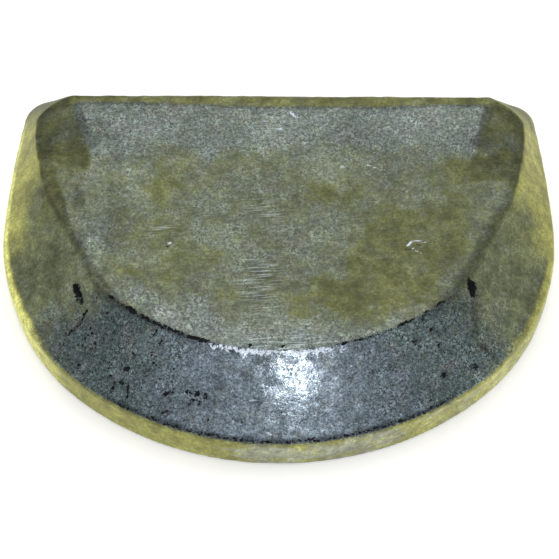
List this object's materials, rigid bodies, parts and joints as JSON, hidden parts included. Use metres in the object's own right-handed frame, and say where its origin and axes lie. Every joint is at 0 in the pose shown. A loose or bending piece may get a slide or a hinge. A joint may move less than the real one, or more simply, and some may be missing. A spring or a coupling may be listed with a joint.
{
  "type": "sacrificial anode",
  "caption": "Half-moon sacrificial anode block, cast in one piece, with a flat wasting face, sloped flanks, an upright rim and tapped holes in its flat back.",
  "frame": {"origin": "middle of the casting's bounding box in plan, on the mounting face", "axes": "+Z from the mounting face to the wasting face, +Y towards the straight back edge, +X across the width"},
  "size_m": [0.14, 0.1016, 0.0238],
  "materials": {
    "anode_alloy": "as cast, dull grey with an olive and straw tarnish"
  },
  "bodies": {
    "root": {"anode_casting": "anode_alloy"}
  },
  "joints": []
}
